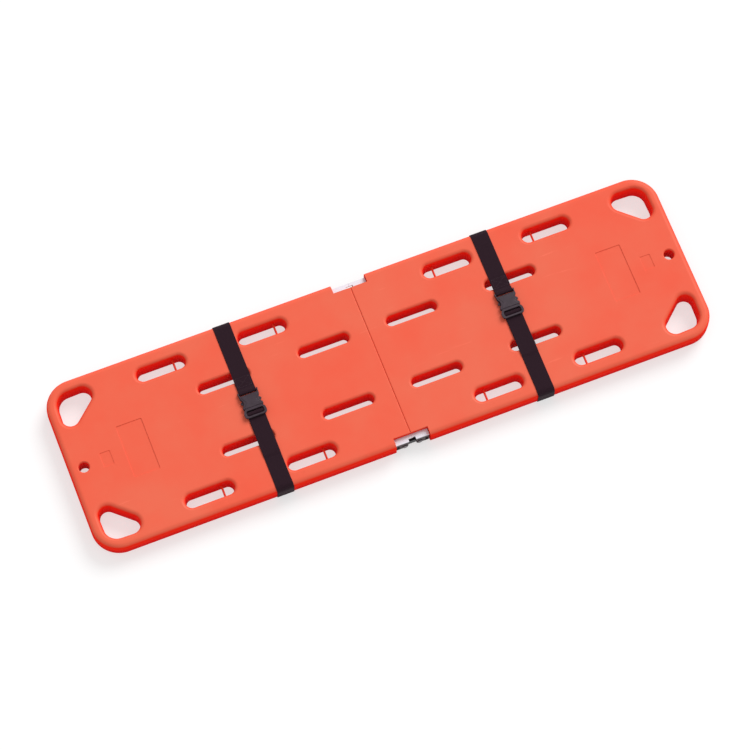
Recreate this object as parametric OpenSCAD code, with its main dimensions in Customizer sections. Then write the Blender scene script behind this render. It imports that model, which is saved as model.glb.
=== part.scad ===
// Two-fold spine board: two hollow mouldings joined by a link hinge in a notch at each long edge,
// with two webbing straps. X runs along the board, Y across it and Z up. The origin is on the
// ground under the middle of the seam. "left" is -X, "right" is +X, "far" is +Y and "near" is -Y.

/* [Board] */
// Length of the open board
board_l = 1840; // [1700:10:1980]
// Width of the board
board_w = 516; // [508:2:530]
// Height of the top face above the ground
board_t = 68; // [62:1:72]
// Height of the runners moulded under each half
runner_h = 6; // [4:1:8]
// Wall thickness of the hollow mouldings
wall = 3.4; // [3:0.1:4.5]
// Plan radius of the four outer corners
corner_r = 80; // [60:1:95]
// Rounding along the outer edges
edge_r = 16; // [12:1:18]

/* [Slots and holes] */
// Clear length of a hand slot
hand_slot_l = 145; // [130:1:150]
// Clear width of a hand slot
hand_slot_w = 41; // [36:1:44]
// Distance of the hand slots from the board's centre line
hand_slot_y = 197; // [194:1:200]
// Clear length of a strap slot
strap_slot_l = 152; // [140:1:156]
// Clear width of a strap slot
strap_slot_w = 32; // [26:1:34]
// Distance of the strap slots from the board's centre line
strap_slot_y = 97; // [90:1:102]
// Radius of the round hole at each end
end_hole_r = 15; // [12:0.5:18]
// Radius of the strap pins across the hand slots
strap_pin_r = 3; // [2.5:0.5:5]

/* [Hinges] */
// Half the distance between the two pins of a hinge
pin_x = 22; // [21:0.5:26]
// Height of the hinge pins above the ground
pin_z = 20; // [18:0.5:21]
// Radius of the hinge pins
pin_r = 5; // [4:0.5:6]
// Depth of the hinge notch in from the board's side
notch_d = 28; // [27:0.5:32]
// Half the length of the hinge notch
notch_x = 51; // [50:1:56]
// Thickness of the aluminium hinge leaves
leaf_t = 4; // [3:0.5:5]

/* [Straps] */
// Width of the webbing
web_w = 50; // [40:1:50]
// Thickness of the webbing
web_t = 1.8; // [1.4:0.1:2.2]
// Place of the left strap along the board
left_strap_x = -380; // [-395:1:-365]
// Place of the right strap along the board
right_strap_x = 397; // [380:1:405]
// Place of the left buckle across the board
left_buckle_y = -8; // [-12:1:10]
// Place of the right buckle across the board
right_buckle_y = 10; // [0:1:20]
// Width of a buckle socket
buckle_w = 60; // [58:1:66]

/* [Hidden] */

shell_colour = "tomato";
metal_colour = "gainsboro";
steel_colour = "dimgray";
black_colour = "#2a2426";

half_l = board_l / 2;
half_w = board_w / 2;
shell_z = runner_h;             // underside of the shell
seam_gap = 0.2;                 // half the gap between the two mouldings
seam_top_r = 3;                 // rounding of the seam's top edge
seam_low_r = 22;                // rounding of the seam's lower edge, so the halves can roll over the pins
notch_y = half_w - notch_d;     // inner wall of the hinge notch
big = 200;                      // longer than anything it cuts through

hand_slot_x = [279, 580];       // centres of the hand slots, from the seam
strap_slot_x = [132, 430];      // centres of the strap slots, from the seam
strap_pin_inset = 33;           // strap pin, in from a hand slot's centre-facing end
strap_pin_z = 37;               // half-way down the slot
end_hole_x = 877;
// The three rounds of a corner grip hole: along the board, across it, radius
grip_rounds = [[848, 186, 40], [863, 152, 26], [813, 199, 28]];
// Label recesses: centre along the board, length, width, depth
recesses = [[719, 75, 156, 2], [810, 30, 42, 1.5]];
// Runners: start and end along the board
runner_spans = [[110, 340], [440, 765]];
runner_y = 144;
runner_w = 26;
vent_x = 250;
vent_r = 9;

leaf_y = notch_y + 0.2;         // inner face of a leaf
leaf_w = 18.8;                  // width of a leaf across the board
leaf_end = notch_x - 1.4;       // end of a leaf away from the seam
leaf_low_z = 10;
leaf_top_z = 52;
link_r = 10;                    // round end of a link bar
link_w = 7.6;
washer_r = 9;
washer_t = 1.1;
pin_play = 0.05;                // radial running clearance of a hinge pin
pin_head_r = 8;
pin_head_t = 2.6;
screw_x = 42.5;
screw_z = [17, 29];
screw_r = 2.9;
screw_head_r = 4.6;
screw_head_t = 2.6;
insert_r = 4.5;
insert_l = 12;
boss_r = 8;
boss_l = 17;

web_lift = 0.4;                 // gap between webbing and shell
buckle_z = board_t + web_lift;  // underside of a buckle
bar_z = buckle_z + 5;           // height of the round bars that the webbing turns round
bar_r = 2.4;
turn_r = bar_r + web_t + 0.2;   // outside of the webbing where it turns round a bar
socket_l = 39;
socket_h = 13;
socket_wall = 3;
eye_y = 49;                     // webbing bar at the back of a socket, from the socket's mouth
plug_bar_y = -13;               // ladder bar of a plug, from the socket's mouth
plug_l = 25;
plug_w = 62;
plug_h = 12;
band_gap = 78;                  // where the strap stops short of the socket's mouth on the plug's side
tail_l = 110;
tongue_l = 31;
arm_x = 21;
arm_r = 2.6;
arm_h = 6;
arm_l = 30;
arm_pin_r = 1.2;
button_l = 12;
button_w = 10;

// ---- helpers ----

// Mirrors a right-hand piece to the left when side is -1.
module on_half(side) {
    if (side < 0) mirror([1, 0, 0]) children();
    else children();
}

// A flat round-ended bar along X.
module stadium(l, w) {
    union() {
        square([l - w, w], center = true);
        for (s = [-1, 1]) translate([s * (l - w) / 2, 0]) circle(d = w, $fn = 64);
    }
}

// A round rod along Y from y0 to y1.
module rod_y(x, z, r, y0, y1) {
    translate([x, y0, z]) rotate([-90, 0, 0]) cylinder(r = r, h = y1 - y0, $fn = 48);
}

// ---- shells ----

// The outside of a right-hand moulding, shrunk by inset all round.
module half_slab(inset) {
    r = edge_r - inset;
    low_z = shell_z + edge_r;
    top_z = board_t - edge_r;
    side_y = half_w - edge_r;
    x0 = seam_gap + inset;
    top_r = max(seam_top_r - inset, 0.6);
    low_r = seam_low_r - inset;
    hull() {
        for (sy = [-1, 1]) {
            for (z = [low_z, top_z]) {
                translate([half_l - corner_r, sy * (half_w - corner_r), z])
                    rotate_extrude($fn = 48) translate([corner_r - edge_r, 0]) circle(r = r, $fn = 24);
            }
            translate([x0 + top_r, sy * side_y, top_z]) rotate([0, 90, 0]) cylinder(r = r, h = 1, $fn = 24);
            translate([x0 + low_r, sy * side_y, low_z]) rotate([0, 90, 0]) cylinder(r = r, h = 1, $fn = 24);
        }
        translate([x0 + top_r, -side_y, board_t - inset - top_r])
            rotate([-90, 0, 0]) cylinder(r = top_r, h = 2 * side_y, $fn = 16);
        translate([x0 + low_r, -side_y, shell_z + inset + low_r])
            rotate([-90, 0, 0]) cylinder(r = low_r, h = 2 * side_y, $fn = 48);
    }
}

// Everything that passes through a right-hand moulding, grown by grow.
module openings(grow) {
    translate([0, 0, -big / 2]) linear_extrude(height = big) {
        for (sy = [-1, 1]) {
            for (x = hand_slot_x) translate([x, sy * hand_slot_y])
                stadium(hand_slot_l + 2 * grow, hand_slot_w + 2 * grow);
            for (x = strap_slot_x) translate([x, sy * strap_slot_y])
                stadium(strap_slot_l + 2 * grow, strap_slot_w + 2 * grow);
            hull() for (g = grip_rounds) translate([g[0], sy * g[1]]) circle(r = g[2] + grow, $fn = 40);
        }
    }
    translate([end_hole_x, 0, -big / 2]) cylinder(r = end_hole_r + grow, h = big, $fn = 64);
    for (sy = [-1, 1]) translate([-grow, sy > 0 ? notch_y - grow : -half_w - big, -big / 2])
        cube([notch_x + 2 * grow, big + notch_d + grow, big]);
}

// Solid stand-offs that the hollow leaves round pins, inserts and the vent.
module bosses() {
    for (sy = [-1, 1]) {
        for (x = hand_slot_x) for (e = [-1, 1]) {
            y = hand_slot_y + e * (hand_slot_w / 2 + 3);
            x_pin = x - hand_slot_l / 2 + strap_pin_inset;
            translate([x_pin - 8, sy * y - 5, strap_pin_z - 8]) cube([16, 10, 16]);
        }
        for (z = screw_z) rod_y(screw_x, z, boss_r, min(sy * notch_y, sy * (notch_y - boss_l)),
            max(sy * notch_y, sy * (notch_y - boss_l)));
    }
    translate([vent_x, 0, shell_z]) cylinder(r = vent_r + 6, h = 7, $fn = 48);
    for (c = recesses) translate([c[0] - c[1] / 2 - wall, -c[2] / 2 - wall, board_t - c[3] - wall])
        cube([c[1] + 2 * wall, c[2] + 2 * wall, wall + c[3]]);
}

module runners() {
    for (sy = [-1, 1]) for (s = runner_spans)
        translate([(s[0] + s[1]) / 2, sy * runner_y, 0])
            linear_extrude(height = runner_h + 2) stadium(s[1] - s[0], runner_w);
}

module half_shell() {
    difference() {
        union() {
            half_slab(0);
            runners();
        }
        difference() {
            half_slab(wall);
            openings(wall);
            bosses();
        }
        openings(0);
        for (c = recesses) translate([c[0] - c[1] / 2, -c[2] / 2, board_t - c[3]]) cube([c[1], c[2], 5]);
        for (sy = [-1, 1]) {
            for (x = hand_slot_x) rod_y(x - hand_slot_l / 2 + strap_pin_inset, strap_pin_z, strap_pin_r + 0.02,
                sy * hand_slot_y - hand_slot_w / 2 - 5, sy * hand_slot_y + hand_slot_w / 2 + 5);
            for (z = screw_z) rod_y(screw_x, z, insert_r + 0.02,
                min(sy * (notch_y + 1), sy * (notch_y - insert_l - 2)),
                max(sy * (notch_y + 1), sy * (notch_y - insert_l - 2)));
        }
        translate([vent_x, 0, shell_z - 1]) cylinder(r = vent_r + 0.05, h = 12, $fn = 48);
        translate([vent_x, 0, shell_z - 1]) cylinder(r = vent_r + 3.1, h = 3.05, $fn = 48);
    }
}

module left_shell() { color(shell_colour) on_half(-1) half_shell(); }
module right_shell() { color(shell_colour) on_half(1) half_shell(); }

// Rods moulded across the hand slots, which strap clips hook on.
module strap_pins(side) {
    color(shell_colour) on_half(side) for (sy = [-1, 1]) for (x = hand_slot_x)
        rod_y(x - hand_slot_l / 2 + strap_pin_inset, strap_pin_z, strap_pin_r,
            sy * hand_slot_y - hand_slot_w / 2 - 4.9, sy * hand_slot_y + hand_slot_w / 2 + 4.9);
}

module left_strap_pins() { strap_pins(-1); }
module right_strap_pins() { strap_pins(1); }

// Push-in plug: a flat head in a counterbore and a stem in the vent hole.
module vent_plug(side) {
    color(shell_colour) on_half(side) translate([vent_x, 0, shell_z]) union() {
        cylinder(r = vent_r + 3, h = 2, $fn = 48);
        cylinder(r = vent_r, h = 9, $fn = 48);
    }
}

module left_vent_plug() { vent_plug(-1); }
module right_vent_plug() { vent_plug(1); }

// ---- hinges ----

// One web of a leaf: a plate round the pin that runs out to the leaf's end.
module leaf_web(y) {
    difference() {
        union() {
            rod_y(pin_x, pin_z, pin_z - leaf_low_z, y, y + leaf_t);
            translate([pin_x, y, leaf_low_z]) cube([leaf_end - pin_x, leaf_t, leaf_top_z - leaf_low_z]);
            translate([pin_x - 10, y, pin_z]) cube([12, leaf_t, leaf_top_z - pin_z]);
        }
        rod_y(pin_x, pin_z, pin_r + pin_play, y - 1, y + leaf_t + 1);
    }
}

// A leaf on the right half at the far edge. window is the Y side of its stop flange that is cut back.
module leaf(window) {
    flange_y = leaf_y + leaf_t + 6;
    difference() {
        union() {
            leaf_web(leaf_y);
            leaf_web(leaf_y + leaf_w - leaf_t);
            translate([seam_gap, leaf_y, leaf_top_z - leaf_t]) cube([leaf_end - seam_gap, leaf_w, leaf_t]);
        }
        translate([-1, window > 0 ? flange_y : leaf_y - 1, leaf_top_z - leaf_t - 1])
            cube([11.5, window > 0 ? leaf_w : flange_y - leaf_y + 1, leaf_t + 2]);
        for (z = screw_z) {
            rod_y(screw_x, z, screw_r + 0.3, leaf_y - 1, leaf_y + leaf_t + 1);
            rod_y(screw_x, z, screw_head_r + 0.6, leaf_y + leaf_w - leaf_t - 1, leaf_y + leaf_w + 1);
        }
    }
}

module placed_leaf(side, edge, window) {
    color(metal_colour) on_half(side) {
        if (edge > 0) leaf(window);
        else mirror([0, 1, 0]) leaf(window);
    }
}

module far_left_leaf() { placed_leaf(-1, 1, -1); }
module far_right_leaf() { placed_leaf(1, 1, -1); }
module near_left_leaf() { placed_leaf(-1, -1, 1); }
module near_right_leaf() { placed_leaf(1, -1, 1); }

// Moves a far-edge piece to the near edge when edge is -1.
module on_edge(edge) {
    if (edge < 0) mirror([0, 1, 0]) children();
    else children();
}

link_y = leaf_y + leaf_w / 2 - link_w / 2;

module link_bar(edge) {
    color(steel_colour) on_edge(edge) difference() {
        union() {
            for (s = [-1, 1]) rod_y(s * pin_x, pin_z, link_r, link_y, link_y + link_w);
            translate([-pin_x, link_y, pin_z - link_r]) cube([2 * pin_x, link_w, 2 * link_r]);
        }
        for (s = [-1, 1]) rod_y(s * pin_x, pin_z, pin_r, link_y - 1, link_y + link_w + 1);
    }
}

module far_link_bar() { link_bar(1); }
module near_link_bar() { link_bar(-1); }

// Headed pins, pressed into the link bar and turning in the leaves.
module hinge_pins(edge) {
    head_y = leaf_y + leaf_w + 0.3;
    color(metal_colour) on_edge(edge) for (s = [-1, 1]) union() {
        rod_y(s * pin_x, pin_z, pin_r, leaf_y + 0.2, head_y + 0.5);
        rod_y(s * pin_x, pin_z, pin_head_r, head_y, head_y + pin_head_t - 1);
        translate([s * pin_x, head_y + pin_head_t - 1, pin_z])
            rotate([-90, 0, 0]) cylinder(r1 = pin_head_r, r2 = pin_head_r - 2, h = 1, $fn = 48);
    }
}

module far_hinge_pins() { hinge_pins(1); }
module near_hinge_pins() { hinge_pins(-1); }

module thrust_washers(edge) {
    color("white") on_edge(edge) for (s = [-1, 1]) for (y = [link_y - washer_t - 0.05, link_y + link_w + 0.05])
        difference() {
            rod_y(s * pin_x, pin_z, washer_r, y, y + washer_t);
            rod_y(s * pin_x, pin_z, pin_r + 0.1, y - 1, y + washer_t + 1);
        }
}

module far_thrust_washers() { thrust_washers(1); }
module near_thrust_washers() { thrust_washers(-1); }

// Round-head screws through the inner webs into the inserts.
module leaf_screws(side) {
    head_y = leaf_y + leaf_t;
    color(metal_colour) on_half(side) for (edge = [-1, 1]) on_edge(edge) for (z = screw_z) difference() {
        union() {
            rod_y(screw_x, z, screw_r, head_y - 14, head_y + 0.5);
            rod_y(screw_x, z, screw_head_r, head_y + 0.02, head_y + screw_head_t);
        }
        rod_y(screw_x, z, 1.6, head_y + 1, head_y + 5);
    }
}

module left_leaf_screws() { leaf_screws(-1); }
module right_leaf_screws() { leaf_screws(1); }

module inserts(side) {
    color("goldenrod") on_half(side) for (edge = [-1, 1]) on_edge(edge) for (z = screw_z) difference() {
        rod_y(screw_x, z, insert_r, notch_y - insert_l, notch_y);
        rod_y(screw_x, z, screw_r + 0.05, notch_y - insert_l - 1, notch_y + 1);
    }
}

module left_inserts() { inserts(-1); }
module right_inserts() { inserts(1); }

// ---- straps ----

// A rounded rectangle in Y and Z, out from the shell's section by grow.
module strap_section(grow) {
    w = board_w + 2 * grow;
    h = board_t - shell_z + 2 * grow;
    r = edge_r + grow;
    translate([0, (board_t + shell_z) / 2]) union() {
        square([w - 2 * r, h], center = true);
        square([w, h - 2 * r], center = true);
        for (sy = [-1, 1]) for (sz = [-1, 1])
            translate([sy * (w / 2 - r), sz * (h / 2 - r)]) circle(r = r, $fn = 64);
    }
}

// Webbing extruded across its width from a profile in Y and Z.
module webbing(x, w) {
    color(black_colour) translate([x - w / 2, 0, 0]) rotate([90, 0, 90]) linear_extrude(height = w) children();
}

// One long strap: sewn round the socket's bar, then right round the half to the plug's side.
module strap(x, y) {
    low = board_t + web_lift;
    turn_y = y + eye_y;
    webbing(x, web_w) difference() {
        union() {
            difference() {
                strap_section(web_lift + web_t);
                strap_section(web_lift);
                translate([y - band_gap, board_t]) square([band_gap + eye_y, 10]);
            }
            translate([turn_y, bar_z]) circle(r = turn_r, $fn = 48);
            polygon([[turn_y, bar_z - turn_r], [turn_y + 10, low], [turn_y + 55, low],
                [turn_y + 55, low + 2 * web_t], [turn_y + 14, low + 2 * web_t], [turn_y, bar_z + turn_r]]);
        }
        translate([turn_y, bar_z]) circle(r = bar_r + 0.2, $fn = 48);
    }
}

module left_strap() { strap(left_strap_x, left_buckle_y); }
module right_strap() { strap(right_strap_x, right_buckle_y); }

// The adjustable end: round the plug's ladder bar, then flat along the top of the strap.
module strap_tail(x, y) {
    low = board_t + web_lift + web_t + 0.35;
    turn_y = y + plug_bar_y;
    webbing(x, web_w - 2) difference() {
        union() {
            translate([turn_y, bar_z]) circle(r = turn_r, $fn = 48);
            polygon([[turn_y, bar_z - turn_r], [turn_y, bar_z + turn_r], [turn_y - 9, low + web_t],
                [turn_y - tail_l, low + web_t], [turn_y - tail_l, low], [turn_y - 9, low]]);
        }
        translate([turn_y, bar_z]) circle(r = bar_r + 0.2, $fn = 48);
    }
}

module left_strap_tail() { strap_tail(left_strap_x, left_buckle_y); }
module right_strap_tail() { strap_tail(right_strap_x, right_buckle_y); }

// ---- buckles, drawn with the socket's mouth at Y = 0 and the plug on the -Y side ----

// A round bar along X that webbing turns round.
module web_bar(y, l) {
    translate([-l / 2, y, bar_z - buckle_z]) rotate([0, 90, 0]) cylinder(r = bar_r, h = l, $fn = 32);
}

module socket() {
    inner_w = buckle_w - 2 * socket_wall;
    inner_h = socket_h - 2 * socket_wall;
    difference() {
        union() {
            translate([-buckle_w / 2, 0, 0]) cube([buckle_w, socket_l, socket_h]);
            translate([-buckle_w / 2 + 1, socket_l - 1, 0]) cube([buckle_w - 2, eye_y - socket_l + 4, 9]);
        }
        translate([-inner_w / 2, -1, socket_wall]) cube([inner_w, socket_l - 3, inner_h]);
        for (s = [-1, 1]) {
            translate([s * buckle_w / 2 - 6, 12, socket_wall]) cube([12, button_l + 6, inner_h]);
            // the mouth is open low down at its sides, where the press buttons pass
            translate([s * buckle_w / 2 - 6, -1, socket_wall]) cube([12, 14, 4.4]);
        }
        translate([-web_w / 2 - 0.7, socket_l + 2, -1]) cube([web_w + 1.4, 20, 12]);
    }
    web_bar(eye_y, buckle_w - 4);
}

module placed_buckle(x, y) { translate([x, y, buckle_z]) children(); }

module left_buckle_socket() { color(black_colour) placed_buckle(left_strap_x, left_buckle_y) socket(); }
module right_buckle_socket() { color(black_colour) placed_buckle(right_strap_x, right_buckle_y) socket(); }

// The plug's frame with its ladder bar, the tongue that guides it and the pins of its two arms.
module plug() {
    rear_y = -plug_l - 0.5;
    opening_w = web_w + 1.4;
    difference() {
        union() {
            translate([-plug_w / 2, rear_y, 0]) cube([plug_w, plug_l, plug_h]);
            translate([-6, -2, 4]) cube([12, tongue_l, 5]);
        }
        translate([-opening_w / 2, rear_y + 4, -1]) cube([opening_w, plug_l - 9.5, 20]);
        translate([-opening_w / 2, rear_y - 1, -1]) cube([opening_w, 6, 5.6]);
        for (s = [-1, 1]) translate([s * arm_x - 6, -5, socket_wall]) cube([12, 8, 7]);
    }
    web_bar(plug_bar_y, plug_w - 4);
    for (s = [-1, 1]) translate([s * arm_x, -2, 1]) cylinder(r = arm_pin_r, h = 10, $fn = 32);
}

module left_buckle_plug() { color(black_colour) placed_buckle(left_strap_x, left_buckle_y) plug(); }
module right_buckle_plug() { color(black_colour) placed_buckle(right_strap_x, right_buckle_y) plug(); }

// A spring arm with its press button. side is the X side of the buckle.
module arm(side) {
    on_half(side) translate([arm_x, -2, socket_wall + 0.5]) difference() {
        union() {
            cylinder(r = arm_r, h = arm_h, $fn = 32);
            translate([-arm_r, 0, 0]) cube([2 * arm_r, arm_l, arm_h]);
            translate([0, 17, 0]) cube([button_w, button_l, 3.4]);
        }
        translate([0, 0, -1]) cylinder(r = arm_pin_r + 0.05, h = arm_h + 2, $fn = 32);
    }
}

module left_buckle_right_arm() { color(black_colour) placed_buckle(left_strap_x, left_buckle_y) arm(1); }
module left_buckle_left_arm() { color(black_colour) placed_buckle(left_strap_x, left_buckle_y) arm(-1); }
module right_buckle_right_arm() { color(black_colour) placed_buckle(right_strap_x, right_buckle_y) arm(1); }
module right_buckle_left_arm() { color(black_colour) placed_buckle(right_strap_x, right_buckle_y) arm(-1); }

left_shell();
right_shell();
left_strap_pins();
right_strap_pins();
left_vent_plug();
right_vent_plug();
far_left_leaf();
far_right_leaf();
near_left_leaf();
near_right_leaf();
far_link_bar();
near_link_bar();
far_hinge_pins();
near_hinge_pins();
far_thrust_washers();
near_thrust_washers();
left_leaf_screws();
right_leaf_screws();
left_inserts();
right_inserts();
left_strap();
right_strap();
left_strap_tail();
right_strap_tail();
left_buckle_socket();
right_buckle_socket();
left_buckle_plug();
right_buckle_plug();
left_buckle_right_arm();
left_buckle_left_arm();
right_buckle_right_arm();
right_buckle_left_arm();
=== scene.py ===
# %% [markdown]
# # A folding spine board
# The real thing is a stretcher for lifting an injured person flat: two hollow red polyethylene
# mouldings that meet at a seam, a link hinge in a notch at each long edge, hand slots and strap
# slots, and two webbing straps with side-release buckles.
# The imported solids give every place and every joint. This script adds the looks: rounded moulded
# shells, woven straps, finished buckles, and a material for every part.

import bmesh
import bpy
import numpy as np
from mathutils import Matrix, Vector
from mathutils.geometry import delaunay_2d_cdt


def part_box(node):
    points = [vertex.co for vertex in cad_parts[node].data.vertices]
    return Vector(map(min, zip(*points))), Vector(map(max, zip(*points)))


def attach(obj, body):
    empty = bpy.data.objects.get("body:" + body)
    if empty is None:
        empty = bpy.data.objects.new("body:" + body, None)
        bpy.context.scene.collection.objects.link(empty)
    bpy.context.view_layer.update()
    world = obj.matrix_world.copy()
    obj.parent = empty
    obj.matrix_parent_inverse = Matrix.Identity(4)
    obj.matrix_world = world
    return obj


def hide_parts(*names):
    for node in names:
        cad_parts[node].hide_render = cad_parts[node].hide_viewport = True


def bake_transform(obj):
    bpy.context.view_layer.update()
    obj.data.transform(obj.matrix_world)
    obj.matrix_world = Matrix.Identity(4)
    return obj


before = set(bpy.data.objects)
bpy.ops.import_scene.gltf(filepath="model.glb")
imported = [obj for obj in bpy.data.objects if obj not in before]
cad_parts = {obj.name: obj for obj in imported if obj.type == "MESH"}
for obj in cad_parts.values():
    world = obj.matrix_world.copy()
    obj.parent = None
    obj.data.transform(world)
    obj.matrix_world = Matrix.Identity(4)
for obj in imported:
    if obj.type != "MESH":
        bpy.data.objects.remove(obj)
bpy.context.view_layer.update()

# %% [markdown]
# ## Camera
# The board is seen from high above its left near side, from 9 m away with a long lens, so that its
# long edges stay nearly parallel while the holes at its far end still show their end walls.
# The view is rolled, which lays the board across the picture.
# The camera's own three directions are worked out first and written straight into its matrix.

# %% Camera
LEAN_X, LEAN_Y, ROLL = np.radians((8.0, 18.0, -22.46))
DISTANCE = 9.0
LENS = 154.2
AIM_LEFT, AIM_DOWN = 0.0141, 0.0338
CENTRE = np.array((0.0, 0.0, 0.037))
toward = np.array((-np.tan(LEAN_X), -np.tan(LEAN_Y), 1.0))
toward /= np.linalg.norm(toward)
level = np.cross(-toward, (0.0, 1.0, 0.0))
level /= np.linalg.norm(level)
upright = np.cross(level, -toward)
right = np.cos(ROLL) * level + np.sin(ROLL) * upright
up = -np.sin(ROLL) * level + np.cos(ROLL) * upright
eye = CENTRE + DISTANCE * toward
aim = CENTRE - AIM_LEFT * right - AIM_DOWN * up
back = (eye - aim) / np.linalg.norm(eye - aim)
right = np.cross(up, back)
right /= np.linalg.norm(right)
up = np.cross(back, right)
camera = bpy.data.objects.new("camera", bpy.data.cameras.new("camera"))
bpy.context.scene.collection.objects.link(camera)
axes = np.array((right, up, back)).T
camera.matrix_world = Matrix([[*row, place] for row, place in zip(axes, eye)] + [[0, 0, 0, 1]])
camera.data.lens = LENS
camera.data.clip_start, camera.data.clip_end = 0.1, 100.0
bpy.context.scene.camera = camera
print("camera at", np.round(eye, 3))

# %% [markdown]
# ## Floor and light
# A pale floor carries the soft shadow. One broad even light comes from beyond the far right corner,
# which puts the shadows of the straps on their left, and the pale world fills in from all round.
# Lamps close by would leave a brighter patch on such a long flat board.

# %% Floor
floor_mesh = bpy.data.meshes.new("floor")
FLOOR = 30.0
floor_corners = [(-FLOOR, -FLOOR, 0), (FLOOR, -FLOOR, 0), (FLOOR, FLOOR, 0), (-FLOOR, FLOOR, 0)]
floor_mesh.from_pydata(floor_corners, [], [(0, 1, 2, 3)])
floor = bpy.data.objects.new("floor", floor_mesh)
bpy.context.scene.collection.objects.link(floor)


# %% Lamps
def sun(name, place, strength, spread):
    """Even light that comes from the direction of place, softened over spread degrees."""
    data = bpy.data.lights.new(name, "SUN")
    data.energy, data.angle = strength, np.radians(spread)
    thing = bpy.data.objects.new(name, data)
    bpy.context.scene.collection.objects.link(thing)
    thing.location = place
    thing.rotation_euler = (-Vector(place)).to_track_quat("-Z", "Y").to_euler()
    return thing


sun("key", (3.0, 2.2, 3.4), 2.2, 35)
world = bpy.data.worlds.new("world")
world.use_nodes = True
sky = world.node_tree.nodes["Background"].inputs
sky["Color"].default_value = (1.0, 1.0, 1.0, 1.0)
sky["Strength"].default_value = 0.58
bpy.context.scene.world = world
bpy.context.scene.view_settings.view_transform = "Standard"
print("lamps:", len(bpy.data.lights))

# %% [markdown]
# ## Shader maths written as Python
# Node trees are easier to read as sums. Value wraps one output socket and overloads the arithmetic
# operators, so rough = 0.4 + 0.1 * noise adds the Math nodes by itself. Every other node comes
# from Finish.node, which sets the node's own settings first and then fills in or links its sockets.


# %% Shader helpers
class Value:
    """One output socket of a node tree, with arithmetic."""

    def __init__(self, finish, socket):
        self.finish, self.socket = finish, socket

    def _maths(self, operation, first, second):
        """A Math node on two values, either of which may be a plain number."""
        return self.finish.node("ShaderNodeMath", {"operation": operation}, {0: first, 1: second})

    def __add__(self, other):
        return self._maths("ADD", self, other)

    __radd__ = __add__

    def __sub__(self, other):
        return self._maths("SUBTRACT", self, other)

    def __rsub__(self, other):
        return self._maths("SUBTRACT", other, self)

    def __mul__(self, other):
        return self._maths("MULTIPLY", self, other)

    __rmul__ = __mul__


class Finish:
    """A material with one Principled shader."""

    def __init__(self, name, **constants):
        self.material = bpy.data.materials.new(name)
        self.material.use_nodes = True
        self.tree = self.material.node_tree
        self.shader = self.tree.nodes["Principled BSDF"]
        for socket, number in constants.items():
            self.shader.inputs[socket.replace("_", " ")].default_value = number

    def node(self, kind, settings=None, inputs=None, out=0):
        """Adds a node: its settings first, then values or links on its sockets."""
        made = self.tree.nodes.new(kind)
        for key, setting in (settings or {}).items():
            if key == "stops":
                ramp = made.color_ramp
                while len(ramp.elements) < len(setting):
                    ramp.elements.new(0.5)
                for element, (position, grey) in zip(ramp.elements, setting):
                    element.position = position
                    element.color = (grey, grey, grey, 1.0)
            else:
                setattr(made, key, setting)
        for key, given in (inputs or {}).items():
            if isinstance(given, Value):
                self.tree.links.new(given.socket, made.inputs[key])
            else:
                made.inputs[key].default_value = given
        return Value(self, made.outputs[out])

    def place(self, scale=(1.0, 1.0, 1.0)):
        """Object coordinates, stretched."""
        here = self.node("ShaderNodeTexCoord", out="Object")
        return self.node("ShaderNodeMapping", {}, {"Vector": here, "Scale": scale})

    def noise(self, scale, detail=3.0, at=None):
        """Cloudy noise from 0 to 1; scale is in lumps per metre."""
        at = at or self.place()
        return self.node("ShaderNodeTexNoise", {}, {"Vector": at, "Scale": scale, "Detail": detail})

    def height(self):
        """Height above the ground, in metres."""
        return self.node("ShaderNodeSeparateXYZ", {}, {0: self.place()}, out=2)

    def fade(self, value, start, end):
        """A smooth step: 0 below start and 1 above end."""
        limits = {"Value": value, "From Min": start, "From Max": end}
        return self.node("ShaderNodeMapRange", {"interpolation_type": "SMOOTHSTEP"}, limits)

    def sine(self, value):
        """The sine of a value in radians."""
        return self.node("ShaderNodeMath", {"operation": "SINE"}, {0: value})

    def steps(self, value, *stops):
        """Maps a value through a grey ramp of (position, grey) stops."""
        return self.node("ShaderNodeValToRGB", {"stops": stops}, {"Fac": value})

    def blend(self, mask, first, second):
        """Mixes two colours by a mask."""
        pick = {"Factor": mask, 6: first, 7: second}
        return self.node("ShaderNodeMix", {"data_type": "RGBA"}, pick, out=2)

    def bump(self, height, depth, strength=1.0, under=None):
        """A normal from a height of 0 to 1 that stands for depth metres."""
        inputs = {"Height": height, "Distance": depth, "Strength": strength}
        if under:
            inputs["Normal"] = under
        return self.node("ShaderNodeBump", {}, inputs)

    def set(self, **sockets):
        """Links values to the Principled shader."""
        for socket, value in sockets.items():
            self.tree.links.new(value.socket, self.shader.inputs[socket.replace("_", " ")])
        return self.material


def rgb(red, green, blue):
    """An sRGB colour of 0 to 255 as a linear colour with alpha."""
    part = np.array((red, green, blue)) / 255.0
    linear = np.where(part <= 0.04045, part / 12.92, ((part + 0.055) / 1.055) ** 2.4)
    return (*linear.tolist(), 1.0)
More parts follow.
